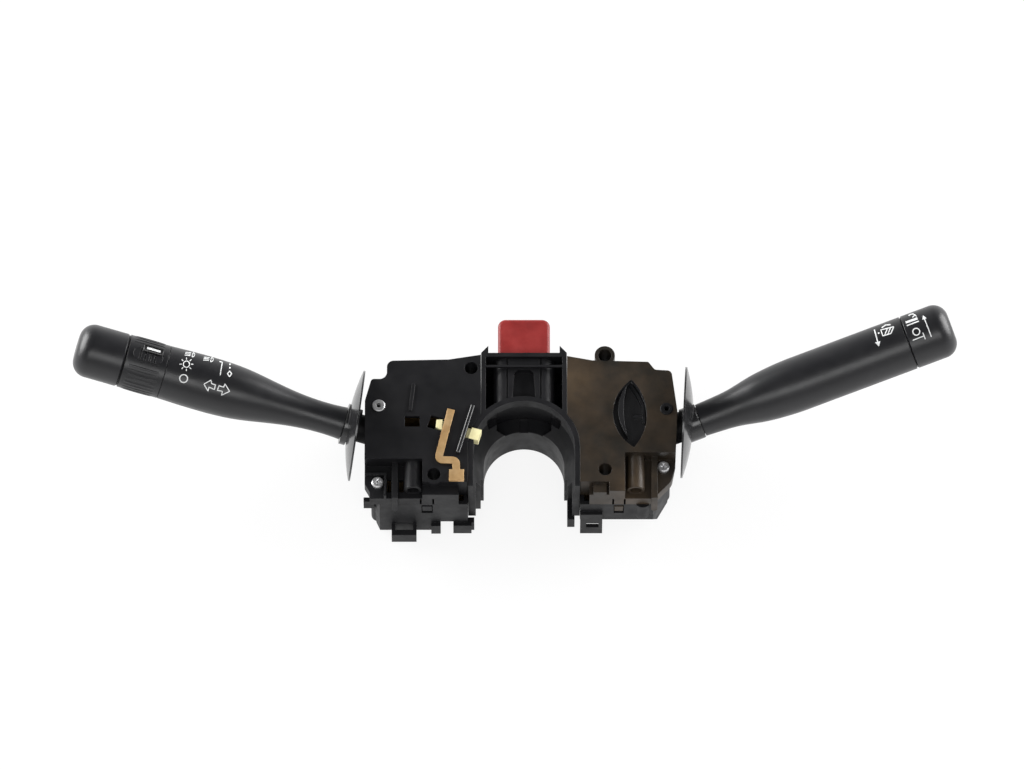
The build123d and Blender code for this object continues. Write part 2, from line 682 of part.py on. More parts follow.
# ---- Stalks ----
# Handle outline: distance out from the neck as a share of the handle, and radius there
handle_outline = {
    -1: [(0.0, neck_radius), (0.08, 6.8), (0.18, 6.9), (0.30, 7.8), (0.43, 9.5), (0.57, 11.3),
         (0.76, grip_radius[-1]), (1.0, head_radius[-1])],
    1: [(0.0, neck_radius), (0.08, 7.6), (0.16, 8.3), (0.26, 10.2), (0.36, 11.4), (0.46, grip_radius[1])],
}
root_start = 6.5              # pivot to the round part of the root
block_height = 6.4
block_half = 3.0
tail_radius = 3.6
cap_socket = 10.0
cap_round = 6.5
mouth_depth = 6.0
pad_length = 13.0
pad_width = 6.0
pad_height = 0.8
collar_radius = {-1: 8.0, 1: 6.9}
collar_length = 1.0
flange_length = 2.6
plunger_reach = 3.5
plunger_length = 7.5
spring_wire = 0.5
arm_reach = 8.5
arm_thickness = 1.1


def profile_plane(origin, direction, across):
    # Local X points across, local Y points along the direction that a profile turns about
    return Plane(origin=origin, x_dir=across, z_dir=Vector(across).cross(Vector(direction)))


def cross_plane(side):
    # Through the pivot, with its normal along the cross pin
    level = lever_plane(side)
    return Plane(origin=level.origin, x_dir=level.x_dir, z_dir=level.y_dir)


def build_handle(side):
    base = stalk_plane(side, 0.0)
    outline = [(radius, share * handle_length[side]) for share, radius in handle_outline[side]]
    tip = (head_radius[side], handle_length[side])
    with BuildPart() as handle:
        with BuildSketch(profile_plane(base.origin, base.z_dir, base.x_dir)):
            with BuildLine():
                Spline(*outline)
                if outline[-1] != tip:
                    Line(outline[-1], tip)
                Polyline(tip, (rod_radius + slip, tip[1]), (rod_radius + slip, mouth_depth),
                         (root_radius + slip, mouth_depth), (root_radius + slip, 0), outline[0])
            make_face()
        revolve(axis=Axis(base.origin, base.z_dir))
    return handle


def build_core(side):
    # Root boss, block on the cross pin, hollow tail for the plunger, and the long rod
    pivot_at = -pivot_inset[side]
    rod_end = handle_length[side] + (ring_length if side < 0 else 0.0) + cap_socket - 0.5
    with BuildPart() as core:
        with BuildSketch(stalk_plane(side, pivot_at - block_half)):
            Rectangle(yoke_width - 2 * yoke_wall - 2 * running, block_height)
        extrude(amount=block_half + root_start)
        with BuildSketch(stalk_plane(side, pivot_at + root_start)):
            Circle(root_radius)
        extrude(amount=mouth_depth - pivot_at - root_start)
        with BuildSketch(stalk_plane(side, pivot_at - tail_length)):
            Circle(tail_radius)
        extrude(amount=tail_length)
        with BuildSketch(stalk_plane(side, 0.0)):
            Circle(rod_radius)
        extrude(amount=rod_end)
        with BuildSketch(stalk_plane(side, pivot_at - tail_length)):
            Circle(plunger_radius + slip)
        extrude(amount=tail_length - cross_pin_radius - 2.5, mode=Mode.SUBTRACT)
        with BuildSketch(cross_plane(side)):
            Circle(cross_pin_radius + slip)
        extrude(amount=yoke_width, both=True, mode=Mode.SUBTRACT)
    return core


def build_yoke(side):
    half = yoke_height / 2
    with BuildPart() as yoke:
        with BuildSketch(lever_plane(side, -half)):
            Rectangle(yoke_length, yoke_width)
        extrude(amount=yoke_height)
        with BuildSketch(lever_plane(side, -half)):
            with Locations((-arm_reach / 2, 0)):
                Rectangle(arm_reach, yoke_width / 2)
        extrude(amount=arm_thickness)
        with BuildSketch(lever_plane(side, -half + yoke_wall)):
            Rectangle(2 * yoke_length, yoke_width - 2 * yoke_wall)
        extrude(amount=yoke_height - 2 * yoke_wall, mode=Mode.SUBTRACT)
        with BuildSketch(lever_plane(side, -half - trunnion_length)):
            Circle(trunnion_radius)
        extrude(amount=trunnion_length)
        with BuildSketch(lever_plane(side, half)):
            Circle(trunnion_radius)
        extrude(amount=trunnion_length)
        with BuildSketch(cross_plane(side)):
            Circle(cross_pin_radius + slip)
        extrude(amount=yoke_width, both=True, mode=Mode.SUBTRACT)
    return yoke


def build_pin(side):
    with BuildPart() as pin:
        with BuildSketch(cross_plane(side)):
            Circle(cross_pin_radius)
        extrude(amount=yoke_width / 2, both=True)
    return pin


def build_collar(side):
    with BuildPart() as collar:
        with BuildSketch(stalk_plane(side, hub_end[side] - fit)):
            Circle(collar_radius[side])
            Circle(root_radius + slip, mode=Mode.SUBTRACT)
        extrude(amount=-collar_length)
    return collar


def build_shield(side):
    # Thin dome, its rim near the housing, on a flanged hub along the stalk
    direction = Vector(side, *shield_tilt[side]).normalized()
    across = Vector(0, 0, 1).cross(direction)
    apex = stalk_plane(side, shield_apex[side]).origin
    middle, sag, skin = shield_radius / 2, shield_sag, shield_thickness
    with BuildPart() as shield:
        with BuildSketch(profile_plane(apex, direction, across)):
            with BuildLine():
                ThreePointArc((0, 0), (middle, -sag / 4), (shield_radius, -sag))
                Line((shield_radius, -sag), (shield_radius, -sag - skin))
                ThreePointArc((shield_radius, -sag - skin), (middle, -sag / 4 - skin), (0, -skin))
                Line((0, -skin), (0, 0))
            make_face()
        revolve(axis=Axis(apex, direction))
        with BuildSketch(stalk_plane(side, hub_end[side])):
            Circle(hub_radius)
        extrude(amount=flange_start - 0.5 - hub_end[side])
        with BuildSketch(stalk_plane(side, flange_start - flange_length)):
            Circle(flange_radius[side])
        extrude(amount=flange_length)
        with Locations(stalk_plane(side, flange_start)):
            Cylinder(root_radius + slip, 4 * abs(hub_end[side]), mode=Mode.SUBTRACT)
    return shield


def build_cap(side, start, bore):
    length = cap_length[side] - head_gap[side]
    with BuildPart() as cap:
        with BuildSketch(stalk_plane(side, start)):
            Circle(head_radius[side])
        extrude(amount=length)
        foot = stalk_plane(side, start).origin
        chamfer(cap.edges().filter_by(GeomType.CIRCLE).sort_by_distance(foot)[0], 0.5)
        fillet(cap.edges().filter_by(GeomType.CIRCLE).sort_by_distance(foot)[-1], cap_round)
        with BuildSketch(stalk_plane(side, start)):
            Circle(rod_radius + bore)
        extrude(amount=cap_socket, mode=Mode.SUBTRACT)
    return cap


def build_plunger(side):
    tip = stalk_plane(side, -pivot_inset[side] - tail_length - plunger_reach)
    with BuildPart() as plunger:
        with BuildSketch(tip):
            Circle(plunger_radius)
        extrude(amount=plunger_length)
        tip_edge = plunger.edges().filter_by(GeomType.CIRCLE).sort_by_distance(tip.origin)[0]
        fillet(tip_edge, plunger_radius - 0.3)
    return plunger


def build_spring(plane, radius, length, turns):
    with BuildPart() as spring:
        with BuildLine() as coil:
            Helix(pitch=length / turns, height=length, radius=radius,
                  center=plane.origin, direction=plane.z_dir)
        with BuildSketch(Plane(origin=coil.line @ 0, z_dir=coil.line % 0)):
            RegularPolygon(spring_wire / 2, 4)
        sweep(is_frenet=True)
    return spring


for side in (-1, 1):
    name = side_name[side]
    save(build_handle(side), f"{name}_handle")
    save(build_core(side), f"{name}_core_rod")
    save(build_yoke(side), f"{name}_yoke")
    save(build_pin(side), f"{name}_cross_pin")
    save(build_collar(side), f"{name}_collar")
    save(build_shield(side), f"{name}_dust_shield")
    save(build_plunger(side), f"{name}_detent_plunger")
    spring_start = stalk_plane(side, -pivot_inset[side] - tail_length - plunger_reach + plunger_length + 0.4)
    spring_length = tail_length - cross_pin_radius - 2.5 - (plunger_length - plunger_reach) - 0.8
    save(build_spring(spring_start, plunger_radius - 0.5, spring_length, 3), f"{name}_detent_spring")

left_ring_start = handle_length[-1] + running
left_cap_start = handle_length[-1] + ring_length + head_gap[-1]
right_cap_start = handle_length[1] + head_gap[1]
save(build_cap(-1, left_cap_start, slip), "left_end_cap")
save(build_cap(1, right_cap_start, 2 * slip), "right_end_cap")

with BuildPart() as light_ring:
    with BuildSketch(stalk_plane(-1, left_ring_start)):
        Circle(head_radius[-1])
        Circle(rod_radius + 2 * slip, mode=Mode.SUBTRACT)
    extrude(amount=ring_length - running)
    # Finger pad on the driver's side, with ribs across it
    middle = stalk_plane(-1, left_ring_start + (ring_length - running) / 2)
    pad = Plane(origin=middle.origin, x_dir=middle.z_dir, z_dir=middle.y_dir)
    with BuildSketch(pad.offset(head_radius[-1] - 1.0)):
        SlotOverall(pad_length, pad_width)
    extrude(amount=1.0 + pad_height)
    with BuildSketch(pad.offset(head_radius[-1] + pad_height)):
        with GridLocations(pad_length / 6, 1, 4, 1):
            Rectangle(0.7, pad_width)
    extrude(amount=-pad_height / 2, mode=Mode.SUBTRACT)
save(light_ring, "light_ring")

# ---- Hazard switch ----
hazard_floor = 26.5           # inside floor, above the saddle's crown
hazard_back = pocket_floor + fit
button_low = 33.0
button_web = 40.0
spring_seat_radius = 4.5
hazard_spring_radius = 3.4

with BuildPart() as hazard_body:
    with BuildSketch(Plane.XY.offset(hazard_back)):
        with Locations((0, cradle_top - cradle_roof - fit)):
            Rectangle(hazard_width, cradle_top, align=(Align.CENTER, Align.MAX))
        add(arch(saddle_radius + fit, cradle_top), mode=Mode.SUBTRACT)
    extrude(amount=hazard_front - hazard_back)
    front_edges = hazard_body.edges().filter_by(Axis.Y).group_by(Axis.Z)[-1]
    fillet(front_edges, hazard_edge)
    # Well of the button, open at the top
    cut_box((-button_width / 2 - running, hazard_floor, button_front + running - hazard_room),
            (button_width / 2 + running, 2 * cradle_top, button_front + running))
    # Tapered recess in the front, with a rounded crown
    with BuildSketch(Plane.XY.offset(hazard_front)):
        with BuildLine():
            Polyline((-5.4, 20.0), (-4.2, 36.0), (-2.6, 37.6), (2.6, 37.6),
                     (4.2, 36.0), (5.4, 20.0), close=True)
        make_face()
    extrude(amount=-hazard_recess, mode=Mode.SUBTRACT)
    # Slots beside the front panel, which leave a thin fin on each side of the recess
    for side in (-1, 1):
        cut_box((side * 7.3 - 0.4, 0.0, hazard_front - 0.6), (side * 7.3 + 0.4, 60.0, hazard_front + 1))
save(hazard_body, "hazard_body")

with BuildPart() as hazard_button:
    with BuildSketch(Plane.XY.offset(button_front)):
        with Locations((0, button_top)):
            Rectangle(button_width, button_top - button_low, align=(Align.CENTER, Align.MAX))
    extrude(amount=-button_depth)
    fillet(hazard_button.edges().filter_by(Axis.Z).group_by(Axis.Y)[-1], button_corner)
    rim = hazard_button.faces().sort_by(Axis.Z)[-1].edges()
    fillet(rim.filter_by(lambda edge: edge.center().Y > button_low + 0.1), 1.6)
    seat = Plane(origin=(0, button_low, button_front - button_depth / 2), z_dir=(0, 1, 0))
    with BuildSketch(seat):
        Circle(spring_seat_radius)
    extrude(amount=button_web - button_low, mode=Mode.SUBTRACT)
save(hazard_button, "hazard_button")

hazard_seat = Plane(origin=(0, hazard_floor + 0.3, button_front - button_depth / 2), z_dir=(0, 1, 0))
save(build_spring(hazard_seat, hazard_spring_radius, button_web - hazard_floor - 0.6, 4), "hazard_spring")

# ---- Cancelling pawl, its guide bar, and the horn contact ----
with BuildPart() as cancel_pawl:
    nose = pawl_span / 2
    with BuildSketch(pawl_plane):
        Rectangle(pawl_span, pawl_width)
    extrude(amount=pawl_thickness)
    with BuildSketch(pawl_plane):
        with Locations((nose, 0)):
            Rectangle(nose_length, pawl_width)
        with Locations((-nose, 0)):
            Polygon((-1.2, -1.8), (wedge_half, -2.4), (0.6, 2.6), (-wedge_half, 1.6), align=None)
    extrude(amount=pawl_top - pawl_base)
save(cancel_pawl, "cancel_pawl")

# ---- Contact boards, tracks, carriers and terminals ----
board_top = board_height + board_thickness
track_radii = (7.6, 9.6, 11.6)
track_width = 1.2
track_thickness = 0.2
leaf_thickness = 0.3
leaf_length = 4.0
leaf_width = 0.9
carrier_inner = 5.8
carrier_outer = 13.0
carrier_base = board_top + track_thickness + running + leaf_thickness
board_low = -17.0
board_high = 28.4
board_corner = 5.5
cam_radius = tail_length + plunger_reach + running
cam_thickness = 4.0
cam_height = 13.5
cam_half_angle = 24.0
cam_groove = 1.4
blade_tip = 5.0


def build_board(side):
    with BuildPart() as board:
        with BuildSketch(Plane.XY.offset(board_height)):
            outer = side * (rear_side[side] - draft_run - shell_wall - fit)
            with BuildLine():
                inner = side * (cradle_half_width + shell_wall + 2 * fit)
                Polyline((inner, board_low), (outer - side * board_corner, board_low),
                         (outer, board_low + 2 * board_corner), (outer, board_high),
                         (inner, board_high), close=True)
            make_face()
            add(arch(cover_arch_radius + shell_wall + fit, 2 * leg_drop), mode=Mode.SUBTRACT)
            pivot = pivot_point(side)
            holes = left_cover_holes if side < 0 else right_cover_holes
            with Locations(*holes):
                Circle(screw_hole_radius + screw_tube_wall + running, mode=Mode.SUBTRACT)
            with Locations((pivot.X, pivot.Y)):
                Circle(boss_radius + fit, mode=Mode.SUBTRACT)
            with Locations(screw_place[side]):
                Circle(screw_boss_radius + running, mode=Mode.SUBTRACT)
        extrude(amount=board_thickness)
    return board


def inward_arc_sector(side, inner, outer, half_angle):
    # Ring sector about the pivot, centred on the line that runs inward from it
    reach = 2 * outer
    spread = radians(half_angle)
    with BuildSketch(mode=Mode.PRIVATE) as sector:
        Circle(outer)
        Circle(inner, mode=Mode.SUBTRACT)
        Polygon((0, 0), (-reach * cos(spread), reach * sin(spread)), (-reach, 0),
                (-reach * cos(spread), -reach * sin(spread)), align=None, mode=Mode.INTERSECT)
    return sector.sketch


def build_tracks(side):
    with BuildPart() as tracks:
        with BuildSketch(lever_plane(side, board_top - pivot_point(side).Z)):
            for radius in track_radii:
                add(inward_arc_sector(side, radius - track_width / 2, radius + track_width / 2, 34.0))
        extrude(amount=track_thickness)
    return tracks


def build_carrier(side):
    with BuildPart() as carrier:
        with BuildSketch(lever_plane(side, carrier_base - pivot_point(side).Z)):
            add(inward_arc_sector(side, carrier_inner, carrier_outer, 22.0))
        extrude(amount=pivot_point(side).Z - yoke_height / 2 - carrier_base)
    return carrier


def build_leaves(side):
    with BuildPart() as leaves:
        with BuildSketch(lever_plane(side, carrier_base - pivot_point(side).Z)):
            with Locations(*[(-radius, 0) for radius in track_radii]):
                Rectangle(leaf_width, leaf_length)
        extrude(amount=-leaf_thickness)
    return leaves


def build_cam(side):
    with BuildPart() as cam:
        with BuildSketch(lever_plane(side, board_top - pivot_point(side).Z)):
            add(inward_arc_sector(side, cam_radius, cam_radius + cam_thickness, cam_half_angle))
            for turn in detent_turns[side]:
                with Locations(Location((0, 0, 0), (0, 0, turn)) * Location((-cam_radius, 0, 0), (0, 0, 45))):
                    Rectangle(cam_groove, cam_groove, mode=Mode.SUBTRACT)
        extrude(amount=cam_height)
    return cam


def build_terminals(side):
    with BuildPart() as terminals:
        with Locations(Location(socket_middle(side, blade_tip))):
            with GridLocations(blade_pitch, blade_row, blade_count, 2):
                Box(blade_thickness, blade_width, board_height - blade_tip, align=stand)
    return terminals


def build_screw(side):
    with BuildPart() as screw:
        with Locations((*screw_place[side], recess_floor)):
            Cylinder(screw_head_radius, screw_head_height, align=stand)
        chamfer(screw.edges().sort_by(Axis.Z)[-1], 0.5)
        with Locations((*screw_place[side], recess_floor - screw_length)):
            Cylinder(screw_radius - slip, screw_length, align=stand)
        with Locations((*screw_place[side], recess_floor + screw_head_height)):
            Box(0.7, 2.8, 2.0, mode=Mode.SUBTRACT)
            Box(2.8, 0.7, 2.0, mode=Mode.SUBTRACT)
    return screw


def build_rivet(side):
    with BuildPart() as rivet:
        with Locations((*rivet_place[side], depth - shell_wall)):
            Cylinder(rivet_radius, shell_wall + 0.1, align=stand)
        with Locations((*rivet_place[side], depth)):
            Cylinder(rivet_flange, 0.6, align=stand)
        chamfer(rivet.edges().sort_by(Axis.Z)[-1], 0.3)
        with Locations((*rivet_place[side], depth)):
            Cylinder(rivet_bore, 4 * shell_wall, mode=Mode.SUBTRACT)
    return rivet


for side in (-1, 1):
    name = side_name[side]
    save(build_board(side), f"{name}_contact_board")
    save(build_tracks(side), f"{name}_contact_tracks")
    save(build_carrier(side), f"{name}_contact_carrier")
    save(build_leaves(side), f"{name}_contact_leaves")
    save(build_cam(side), f"{name}_detent_cam")
    save(build_terminals(side), f"{name}_terminals")
    save(build_screw(side), f"{name}_cover_screw")
    save(build_rivet(side), f"{name}_rivet")

with BuildPart() as hazard_contact_bridge:
    with Locations((0, button_low, button_front - button_depth / 2)):
        Box(button_width - 2.0, 1.2, 4.0, align=(Align.CENTER, Align.MAX, Align.CENTER))
        Cylinder(spring_seat_radius, 6.0, rotation=(90, 0, 0), mode=Mode.SUBTRACT)
save(hazard_contact_bridge, "hazard_contact_bridge")

with BuildPart() as hazard_contacts:
    with Locations((-8.2, hazard_floor, button_front - button_depth / 2),
                   (8.2, hazard_floor, button_front - button_depth / 2)):
        Box(3.0, 0.8, 4.0, align=(Align.CENTER, Align.MIN, Align.CENTER))
save(hazard_contacts, "hazard_contacts")

with BuildPart() as guide_bar:
    with BuildSketch(Plane.XY.offset(depth)):
        with BuildLine():
            Line((-22.1, 19.4), (-28.7, -3.4))
        trace(line_width=2.0)
    extrude(amount=1.8)
    fillet(guide_bar.faces().sort_by(Axis.Z)[-1].edges(), 0.8)
save(guide_bar, "guide_bar")

with BuildPart() as horn_contact:
    with BuildSketch(Plane.XY.offset(depth + running)):
        with BuildLine():
            FilletPolyline((-31.6, 17.4), (-37.2, -6.6), (-29.4, -6.8), (-29.2, -15.0), radius=1.7)
        trace(line_width=strip_width)
    extrude(amount=strip_thickness)
    with BuildSketch(Plane.XY.offset(depth)):
        with Locations((-29.2, -14.0)):
            Rectangle(6.4, 5.2)
    extrude(amount=running + strip_thickness + 0.4)
save(horn_contact, "horn_contact")
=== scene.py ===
# Combination stalk switch: finishes, printed marks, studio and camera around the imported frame.
import json
import math

import bmesh
import bpy
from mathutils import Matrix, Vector
from mathutils.bvhtree import BVHTree


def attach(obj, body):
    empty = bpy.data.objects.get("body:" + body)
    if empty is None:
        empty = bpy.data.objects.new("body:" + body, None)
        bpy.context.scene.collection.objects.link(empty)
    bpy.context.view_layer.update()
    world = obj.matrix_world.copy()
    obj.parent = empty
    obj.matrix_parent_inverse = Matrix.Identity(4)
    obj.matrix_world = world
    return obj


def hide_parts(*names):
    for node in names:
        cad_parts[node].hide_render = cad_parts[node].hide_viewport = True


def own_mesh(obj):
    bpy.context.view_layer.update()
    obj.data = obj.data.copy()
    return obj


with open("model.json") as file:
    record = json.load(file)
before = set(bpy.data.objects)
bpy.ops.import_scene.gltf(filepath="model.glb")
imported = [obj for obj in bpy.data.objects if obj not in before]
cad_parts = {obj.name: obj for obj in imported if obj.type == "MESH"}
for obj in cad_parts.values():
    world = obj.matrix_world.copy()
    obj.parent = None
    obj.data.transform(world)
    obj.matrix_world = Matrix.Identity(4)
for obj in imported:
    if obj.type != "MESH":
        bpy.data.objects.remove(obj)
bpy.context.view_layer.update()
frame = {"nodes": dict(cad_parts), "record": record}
nodes = frame["nodes"]
mm = 0.001  # sizes below are in millimetres where a name doesn't say otherwise

# Noise settings as (detail, roughness), and the part of a noise's range that it mostly keeps to
noiseKinds = {
    "cloud": (4.0, 0.6), "polish": (5.0, 0.55), "grain": (2.0, 0.6), "wave": (1.0, 0.4),
    "scratch": (4.0, 0.7),
}
noiseReach = (0.3, 0.7)
bevelSamples = 4
mouldStops = (0.32, 0.5, 0.7)       # where the dark, middle and light colours of a moulding stand
metalStops = (0.3, 0.5, 0.72)
bumpDepth = {"grain": 0.06, "wave": 0.25, "scratch": 0.03}


# Short forms for building materials
def newMaterial(name):
    material = bpy.data.materials.new(name)
    material.use_nodes = True
    tree = material.node_tree
    shader = tree.nodes["Principled BSDF"]
    return material, tree, shader


def addNode(tree, kind, settings=None, **sockets):
    node = tree.nodes.new(kind)
    for key, value in (settings or {}).items():
        setattr(node, key, value)
    for key, value in sockets.items():
        node.inputs[key.replace("_", " ")].default_value = value
    return node


def join(tree, source, output, target, socket):
    tree.links.new(source.outputs[output], target.inputs[socket])


def noise(tree, place, output, scale, kind):
    detail, roughness = noiseKinds[kind]
    node = addNode(tree, "ShaderNodeTexNoise", Scale=scale, Detail=detail, Roughness=roughness)
    join(tree, place, output, node, "Vector")
    return node


def ramp(tree, source, output, stops):
    node = tree.nodes.new("ShaderNodeValToRGB")
    band = node.color_ramp
    while len(band.elements) < len(stops):
        band.elements.new(0.5)
    for element, (place, colour) in zip(band.elements, stops):
        element.position = place
        element.color = (*colour, 1.0)
    join(tree, source, output, node, "Fac")
    return node


def spread(tree, source, output, low, high):
    least, most = noiseReach
    node = addNode(tree, "ShaderNodeMapRange", From_Min=least, From_Max=most, To_Min=low, To_Max=high)
    join(tree, source, output, node, "Value")
    return node


def softEdge(tree, radius):
    return addNode(tree, "ShaderNodeBevel", {"samples": bevelSamples}, Radius=radius * mm)


# A bump of the given depth in millimetres, over the normals of another node
def bump(tree, height, strength, depth, under):
    node = addNode(tree, "ShaderNodeBump", Strength=strength, Distance=depth * mm)
    join(tree, height, "Fac", node, "Height")
    join(tree, under, "Normal", node, "Normal")
    return node


def clouded(tree, place, look, stops, shader):
    cloud = noise(tree, place, "Object", look["cloudScale"], "cloud")
    shades = [look[shade] for shade in ("dark", "mid", "light")]
    colour = ramp(tree, cloud, "Fac", list(zip(stops, shades)))
    join(tree, colour, "Color", shader, "Base Color")


# A moulded plastic: cloudy colour, uneven polish, spark-eroded grain and softened edges
def mouldedPlastic(name, look):
    material, tree, shader = newMaterial(name)
    place = tree.nodes.new("ShaderNodeTexCoord")
    clouded(tree, place, look, mouldStops, shader)
    polish = noise(tree, place, "Object", look["polishScale"], "polish")
    rough = spread(tree, polish, "Fac", *look["roughness"])
    join(tree, rough, "Result", shader, "Roughness")
    grain = noise(tree, place, "Object", look["grainScale"], "grain")
    fine = bump(tree, grain, look["grain"], bumpDepth["grain"], softEdge(tree, look["edge"]))
    wave = noise(tree, place, "Object", look["waveScale"], "wave")
    sink = bump(tree, wave, look["wave"], bumpDepth["wave"], fine)
    join(tree, sink, "Normal", shader, "Normal")
    shader.inputs["Specular IOR Level"].default_value = look["specular"]
    return material


# A worked metal: drawn or plated, with fine scratches along one way
def workedMetal(name, look):
    material, tree, shader = newMaterial(name)
    place = tree.nodes.new("ShaderNodeTexCoord")
    clouded(tree, place, look, metalStops, shader)
    stretch = addNode(tree, "ShaderNodeMapping", Scale=look["drawn"])
    join(tree, place, "Object", stretch, "Vector")
    scratch = noise(tree, stretch, "Vector", look["scratchScale"], "scratch")
    rough = spread(tree, scratch, "Fac", *look["roughness"])
    join(tree, rough, "Result", shader, "Roughness")
    worn = bump(tree, scratch, look["grain"], bumpDepth["scratch"], softEdge(tree, look["edge"]))
    join(tree, worn, "Normal", shader, "Normal")
    shader.inputs["Metallic"].default_value = look["metal"]
    return material


# One look for each finish; sizes in millimetres, scales in features per metre
housingBlack = {
    "dark": (0.0052, 0.0053, 0.0062), "mid": (0.0074, 0.0074, 0.0086), "light": (0.0108, 0.0106, 0.0118),
    "cloudScale": 45, "polishScale": 160, "roughness": (0.42, 0.58), "edge": 0.35,
    "grainScale": 3200, "grain": 0.10, "waveScale": 90, "wave": 0.06, "specular": 0.22,
}
# Brown-black cover: its brownish tone is partly the moulding's own colour and partly painted sheen; the
# lighter cloudy patches are a painted reflection of something brownish laid into the base colour
coverBrownSheen = {
    "dark": (0.0150, 0.0125, 0.0095), "mid": (0.0340, 0.0240, 0.0155), "light": (0.0620, 0.0420, 0.0240),
    "cloudScale": 38, "polishScale": 130, "roughness": (0.34, 0.50), "edge": 0.35,
    "grainScale": 2800, "grain": 0.06, "waveScale": 80, "wave": 0.08, "specular": 0.26,
}
stalkCharcoal = {
    "dark": (0.0078, 0.0079, 0.0092), "mid": (0.0095, 0.0096, 0.0112), "light": (0.0120, 0.0121, 0.0138),
    "cloudScale": 30, "polishScale": 220, "roughness": (0.31, 0.39), "edge": 0.3,
    "grainScale": 2400, "grain": 0.16, "waveScale": 40, "wave": 0.02, "specular": 0.5,
}
shieldBlack = {
    "dark": (0.010, 0.010, 0.011), "mid": (0.014, 0.014, 0.015), "light": (0.018, 0.018, 0.019),
    "cloudScale": 60, "polishScale": 120, "roughness": (0.12, 0.22), "edge": 0.2,
    "grainScale": 2600, "grain": 0.02, "waveScale": 60, "wave": 0.05, "specular": 0.6,
}
buttonRed = {
    "dark": (0.180, 0.015, 0.014), "mid": (0.215, 0.019, 0.018), "light": (0.255, 0.027, 0.025),
    "cloudScale": 90, "polishScale": 200, "roughness": (0.34, 0.46), "edge": 0.5,
    "grainScale": 2600, "grain": 0.12, "waveScale": 70, "wave": 0.03, "specular": 0.3,
}
nylonIvory = {
    "dark": (0.70, 0.63, 0.33), "mid": (0.80, 0.74, 0.42), "light": (0.87, 0.82, 0.52),
    "cloudScale": 150, "polishScale": 260, "roughness": (0.36, 0.48), "edge": 0.25,
    "grainScale": 2500, "grain": 0.05, "waveScale": 150, "wave": 0.03, "specular": 0.5,
}
boardBrown = {
    "dark": (0.10, 0.06, 0.02), "mid": (0.13, 0.08, 0.03), "light": (0.17, 0.11, 0.04),
    "cloudScale": 200, "polishScale": 260, "roughness": (0.4, 0.6), "edge": 0.2,
    "grainScale": 3000, "grain": 0.2, "waveScale": 150, "wave": 0.03, "specular": 0.4,
}
# white of the printed marks, also the colour of the painted highlight on the thumb pad's key
printAndHighlightWhite = {
    "dark": (0.55, 0.56, 0.56), "mid": (0.66, 0.67, 0.67), "light": (0.74, 0.75, 0.75),
    "cloudScale": 600, "polishScale": 900, "roughness": (0.45, 0.6), "edge": 0.05,
    "grainScale": 3000, "grain": 0.1, "waveScale": 150, "wave": 0.02, "specular": 0.4,
}
contactBrass = {
    "dark": (0.60, 0.36, 0.16), "mid": (0.70, 0.45, 0.21), "light": (0.80, 0.55, 0.29), "metal": 0.72,
    "cloudScale": 160, "scratchScale": 500, "drawn": (1.0, 0.12, 1.0), "roughness": (0.36, 0.52),
    "edge": 0.2, "grain": 0.12,
}
screwSteel = {
    "dark": (0.62, 0.62, 0.63), "mid": (0.74, 0.74, 0.75), "light": (0.84, 0.84, 0.84), "metal": 0.85,
    "cloudScale": 420, "scratchScale": 900, "drawn": (1.0, 0.4, 1.0), "roughness": (0.26, 0.40),
    "edge": 0.15, "grain": 0.12,
}

finishes = {
    "black_moulding": mouldedPlastic("housingBlack", housingBlack),
    "brown_black_moulding": mouldedPlastic("coverBrownSheen", coverBrownSheen),
    "stalk_plastic": mouldedPlastic("stalkCharcoal", stalkCharcoal),
    "shield_plastic": mouldedPlastic("shieldBlack", shieldBlack),
    "button_red": mouldedPlastic("buttonRed", buttonRed),
    "ivory_nylon": mouldedPlastic("nylonIvory", nylonIvory),
    "board": mouldedPlastic("boardBrown", boardBrown),
    "brass": workedMetal("contactBrass", contactBrass),
    "steel": workedMetal("screwSteel", screwSteel),
}
slotOf = {part["node"]: part["material_slot"] for part in frame["record"]["subparts"]}
for name, thing in nodes.items():
    thing.data.materials.clear()
    thing.data.materials.append(finishes[slotOf[name]])
print("finishes on", len(nodes), "nodes")

# The marks are drawn flat, as seen from the driver's side, in millimetres to the right and up, and are laid
# on their surface along the line of sight
viewElevation = 65.0
viewTilt = math.radians(viewElevation)
acrossWay = Vector((1, 0, 0))
upWay = Vector((0, math.sin(viewTilt), math.cos(viewTilt)))
sightWay = Vector((0, math.cos(viewTilt), -math.sin(viewTilt)))
sightStart = 200.0
upright = Vector((0, 0, 1))


def surfaceOf(node):
    mesh = nodes[node].data
    return BVHTree.FromPolygons([v.co for v in mesh.vertices], [p.vertices[:] for p in mesh.polygons])


def addPiece(name, shape, body, finish):
    bmesh.ops.recalc_face_normals(shape, faces=shape.faces)
    mesh = bpy.data.meshes.new(name)
    shape.to_mesh(mesh)
    shape.free()
    mesh.materials.append(finish)
    piece = bpy.data.objects.new(name, mesh)
    bpy.context.scene.collection.objects.link(piece)
    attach(piece, body)


def dropOn(tree, place):
    start = (acrossWay * place[0] + upWay * place[1] - sightWay * sightStart) * mm
    point, normal = tree.ray_cast(start, sightWay)[:2]
    if point is None:
        raise ValueError(f"a mark misses its surface at {place[0]:.1f}, {place[1]:.1f}")
    return point, normal if normal.dot(sightWay) < 0 else -normal


def resample(line, step, closed):
    ends = line[1:] + line[:1] if closed else line[1:]
    points = []
    for a, b in zip(line, ends):
        count = max(1, math.ceil(math.dist(a, b) / step))
        for i in range(count):
            points.append((a[0] + (b[0] - a[0]) * i / count, a[1] + (b[1] - a[1]) * i / count))
    return points if closed else points + [line[-1]]


